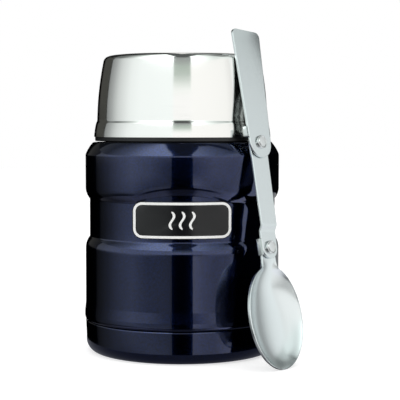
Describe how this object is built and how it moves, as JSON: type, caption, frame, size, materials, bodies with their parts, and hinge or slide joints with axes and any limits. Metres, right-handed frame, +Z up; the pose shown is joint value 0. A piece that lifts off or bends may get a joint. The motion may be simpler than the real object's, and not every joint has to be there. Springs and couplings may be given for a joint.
{
  "type": "insulated food jar",
  "caption": "Vacuum-insulated steel food jar with a screw-on cup lid, a screwed stopper beneath it and a folding spoon leaning on it.",
  "frame": {"origin": "centre of the base ring, on the jar's axis, at the level that it stands on", "axes": "+Z up along the jar's axis, -Y towards the front with the badge, +X to the right seen from the front"},
  "size_m": [0.1029, 0.112, 0.1539],
  "materials": {
    "midnight_paint": "glossy metallic midnight blue enamel",
    "bare_steel": "satin stainless steel",
    "polished_steel": "polished stainless steel",
    "spoon_steel": "satin stainless steel",
    "rivet_steel": "tumbled stainless steel",
    "solder": "dull",
    "getter_metal": "sintered",
    "foil": "bright foil",
    "black_plastic": "fine moulded texture",
    "badge_enamel": "gloss",
    "insulating_foam": "closed-cell foam",
    "silicone": "matt translucent grey"
  },
  "bodies": {
    "jar": {"outer_shell": "midnight_paint", "base_cap": "midnight_paint", "outer_bottom_plate": "bare_steel", "vacuum_seal_bead": "solder", "getter_pill": "getter_metal", "inner_vessel": "bare_steel", "radiation_foil": "foil", "thread_collar": "black_plastic", "badge_plate": "badge_enamel"},
    "cup_liner": {"cup_inner_bowl": "bare_steel"},
    "cup": {"cup_shell": "polished_steel", "cup_thread_ring": "black_plastic"},
    "stopper_seal": {"stopper_gasket": "silicone"},
    "stopper": {"stopper_body": "black_plastic", "stopper_foam": "insulating_foam", "stopper_bottom_cap": "black_plastic"},
    "spoon_head": {"spoon_bowl": "spoon_steel"},
    "spoon_middle": {"spoon_link": "spoon_steel", "lower_rivet": "rivet_steel"},
    "spoon_top": {"spoon_handle": "spoon_steel", "upper_rivet": "rivet_steel"}
  },
  "joints": [
    {"name": "cup_lift", "type": "slide", "parent": "jar", "child": "cup_liner", "axis": [0, 0, 1], "range_m": [0, 0.0801]},
    {"name": "cup_turn", "type": "hinge", "parent": "cup_liner", "child": "cup", "pos_m": [0, 0, 0.12], "axis": [0, 0, 1], "range_deg": [0, 1800]},
    {"name": "stopper_lift", "type": "slide", "parent": "jar", "child": "stopper_seal", "axis": [0, 0, 1], "range_m": [0, 0.0401]},
    {"name": "stopper_turn", "type": "hinge", "parent": "stopper_seal", "child": "stopper", "pos_m": [0, 0, 0.12], "axis": [0, 0, 1], "range_deg": [0, 901]},
    {"name": "spoon_aside", "type": "slide", "parent": "jar", "child": "spoon_head", "axis": [0.7193, -0.6947, 0], "range_m": [0, 0.0401]},
    {"name": "link_fold", "type": "hinge", "parent": "spoon_head", "child": "spoon_middle", "pos_m": [0.04006, -0.04444, 0.05377], "axis": [-0.6955, 0.6716, -0.2554], "range_deg": [0, 180]},
    {"name": "handle_fold", "type": "hinge", "parent": "spoon_middle", "child": "spoon_top", "pos_m": [0.03426, -0.03265, 0.10056], "axis": [-0.6955, 0.6716, -0.2554], "range_deg": [0, 180]}
  ],
  "couplings": [
    {"joint": "cup_lift", "follows": "cup_turn", "m_per_rad": 0.0025465},
    {"joint": "stopper_turn", "follows": "cup_turn", "ratio": 0.5},
    {"joint": "stopper_lift", "follows": "cup_turn", "m_per_rad": 0.0012732},
    {"joint": "spoon_aside", "follows": "cup_turn", "m_per_rad": 0.0012732},
    {"joint": "handle_fold", "follows": "link_fold", "ratio": 1}
  ]
}
